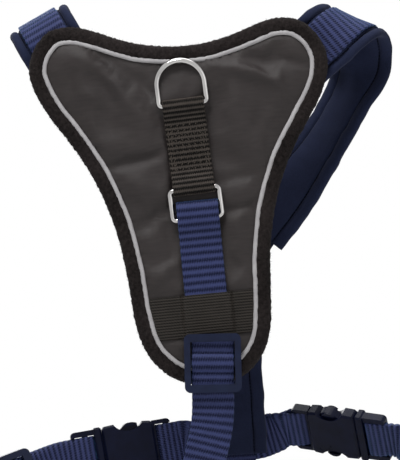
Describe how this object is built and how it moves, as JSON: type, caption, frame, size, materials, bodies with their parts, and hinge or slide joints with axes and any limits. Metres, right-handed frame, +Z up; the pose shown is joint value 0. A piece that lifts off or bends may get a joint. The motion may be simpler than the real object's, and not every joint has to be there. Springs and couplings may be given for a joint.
{
  "type": "no pull pet harness",
  "caption": "Padded Y-front pet harness with a chest panel, shoulder and back straps, front and back lead rings, sliding adjusters and side-release buckles.",
  "frame": {"origin": "middle of the chest panel's back face, where it lies on the animal's chest", "axes": "+X towards the right of a viewer facing the panel's front, +Y through the panel towards the wearer's back, +Z up along the neck"},
  "size_m": [0.3197, 0.0867, 0.3563],
  "materials": {
    "nickel": "polished",
    "buckle_plastic": "satin",
    "slider_plastic": "satin",
    "satin_nylon": "satin",
    "lining_fabric": "matt",
    "foam": "matt",
    "fleece_binding": "fuzzy",
    "piping": "reflective",
    "black_webbing": "woven",
    "elastic": "ribbed",
    "padded_fabric": "matt, padded",
    "navy_webbing": "ribbed weave"
  },
  "bodies": {
    "harness": {"chest_panel_lining": "lining_fabric", "chest_panel_foam": "foam", "chest_panel_shell": "satin_nylon", "edge_binding": "fleece_binding", "reflective_piping": "piping", "front_ring_strap": "black_webbing", "chest_webbing_fold": "navy_webbing", "chest_webbing_return": "navy_webbing", "chest_webbing": "navy_webbing", "keeper_band": "elastic", "shoulder_pad_left": "padded_fabric", "shoulder_pad_right": "padded_fabric", "shoulder_webbing_left": "navy_webbing", "shoulder_webbing_right": "navy_webbing", "back_pad": "padded_fabric", "back_webbing": "navy_webbing", "withers_patch": "navy_webbing", "back_ring_strap": "black_webbing", "buckle_socket_left": "buckle_plastic", "buckle_socket_right": "buckle_plastic", "girth_stub_left": "navy_webbing", "girth_stub_right": "navy_webbing", "girth_webbing_left": "navy_webbing", "girth_webbing_right": "navy_webbing", "belly_patch": "navy_webbing"},
    "front_ring": {"front_d_ring": "nickel"},
    "front_link": {"link_ring": "nickel"},
    "back_ring": {"back_d_ring": "nickel"},
    "chest_adjuster": {"chest_slider": "slider_plastic", "chest_slider_hump": "navy_webbing"},
    "plug_left": {"buckle_plug_left": "buckle_plastic", "adjuster_strap_left": "navy_webbing"},
    "girth_adjuster_left": {"girth_slider_left": "slider_plastic", "girth_slider_hump_left": "navy_webbing"},
    "arm_left_upper": {"buckle_arm_left_upper": "buckle_plastic"},
    "arm_left_lower": {"buckle_arm_left_lower": "buckle_plastic"},
    "plug_right": {"buckle_plug_right": "buckle_plastic", "adjuster_strap_right": "navy_webbing"},
    "girth_adjuster_right": {"girth_slider_right": "slider_plastic", "girth_slider_hump_right": "navy_webbing"},
    "arm_right_upper": {"buckle_arm_right_upper": "buckle_plastic"},
    "arm_right_lower": {"buckle_arm_right_lower": "buckle_plastic"}
  },
  "joints": [
    {"name": "front_ring_hinge", "type": "hinge", "parent": "harness", "child": "front_ring", "pos_m": [-0.00624, -0.00898, 0.06899], "axis": [0.9917, 0, 0.1288], "range_deg": [0, 150]},
    {"name": "front_link_hinge", "type": "hinge", "parent": "harness", "child": "front_link", "pos_m": [0.00032, -0.00888, 0.01852], "axis": [-0.9917, 0, -0.1288], "range_deg": [0, 20], "deforming": ["chest_webbing_fold"]},
    {"name": "back_ring_hinge", "type": "hinge", "parent": "harness", "child": "back_ring", "pos_m": [0.0202, 0.06223, -0.074], "axis": [0.9978, 0, 0.0669], "range_deg": [0, 150]},
    {"name": "chest_adjuster_slide", "type": "slide", "parent": "harness", "child": "chest_adjuster", "axis": [0, 0, -1], "range_m": [0, 0.012]},
    {"name": "buckle_left_release", "type": "slide", "parent": "harness", "child": "plug_left", "axis": [-0.9821, -0.0802, -0.1704], "range_m": [0, 0.03], "deforming": ["buckle_arm_left_upper", "buckle_arm_left_lower", "girth_webbing_left"]},
    {"name": "girth_adjuster_left_slide", "type": "slide", "parent": "plug_left", "child": "girth_adjuster_left", "axis": [-0.8982, -0.2794, -0.3393], "range_m": [-0.008, 0.008]},
    {"name": "arm_left_upper_hinge", "type": "hinge", "parent": "plug_left", "child": "arm_left_upper", "pos_m": [-0.05225, 0.06039, -0.13133], "axis": [-0.079, 0.9968, -0.0137], "range_deg": [0, 6], "stiffness_Nm_per_rad": 0.05},
    {"name": "arm_left_lower_hinge", "type": "hinge", "parent": "plug_left", "child": "arm_left_lower", "pos_m": [-0.04904, 0.06039, -0.14985], "axis": [0.079, -0.9968, 0.0137], "range_deg": [0, 6], "stiffness_Nm_per_rad": 0.05},
    {"name": "buckle_right_release", "type": "slide", "parent": "harness", "child": "plug_right", "axis": [0.916, -0.3825, -0.1208], "range_m": [0, 0.03], "deforming": ["buckle_arm_right_upper", "buckle_arm_right_lower", "girth_webbing_right"]},
    {"name": "girth_adjuster_right_slide", "type": "slide", "parent": "plug_right", "child": "girth_adjuster_right", "axis": [0.6488, -0.5677, -0.5068], "range_m": [-0.008, 0.008]},
    {"name": "arm_right_upper_hinge", "type": "hinge", "parent": "plug_right", "child": "arm_right_upper", "pos_m": [0.09573, 0.04161, -0.12107], "axis": [-0.3693, -0.6866, -0.6262], "range_deg": [0, 6], "stiffness_Nm_per_rad": 0.05},
    {"name": "arm_right_lower_hinge", "type": "hinge", "parent": "plug_right", "child": "arm_right_lower", "pos_m": [0.09867, 0.05323, -0.13555], "axis": [0.3693, 0.6866, 0.6262], "range_deg": [0, 6], "stiffness_Nm_per_rad": 0.05}
  ]
}
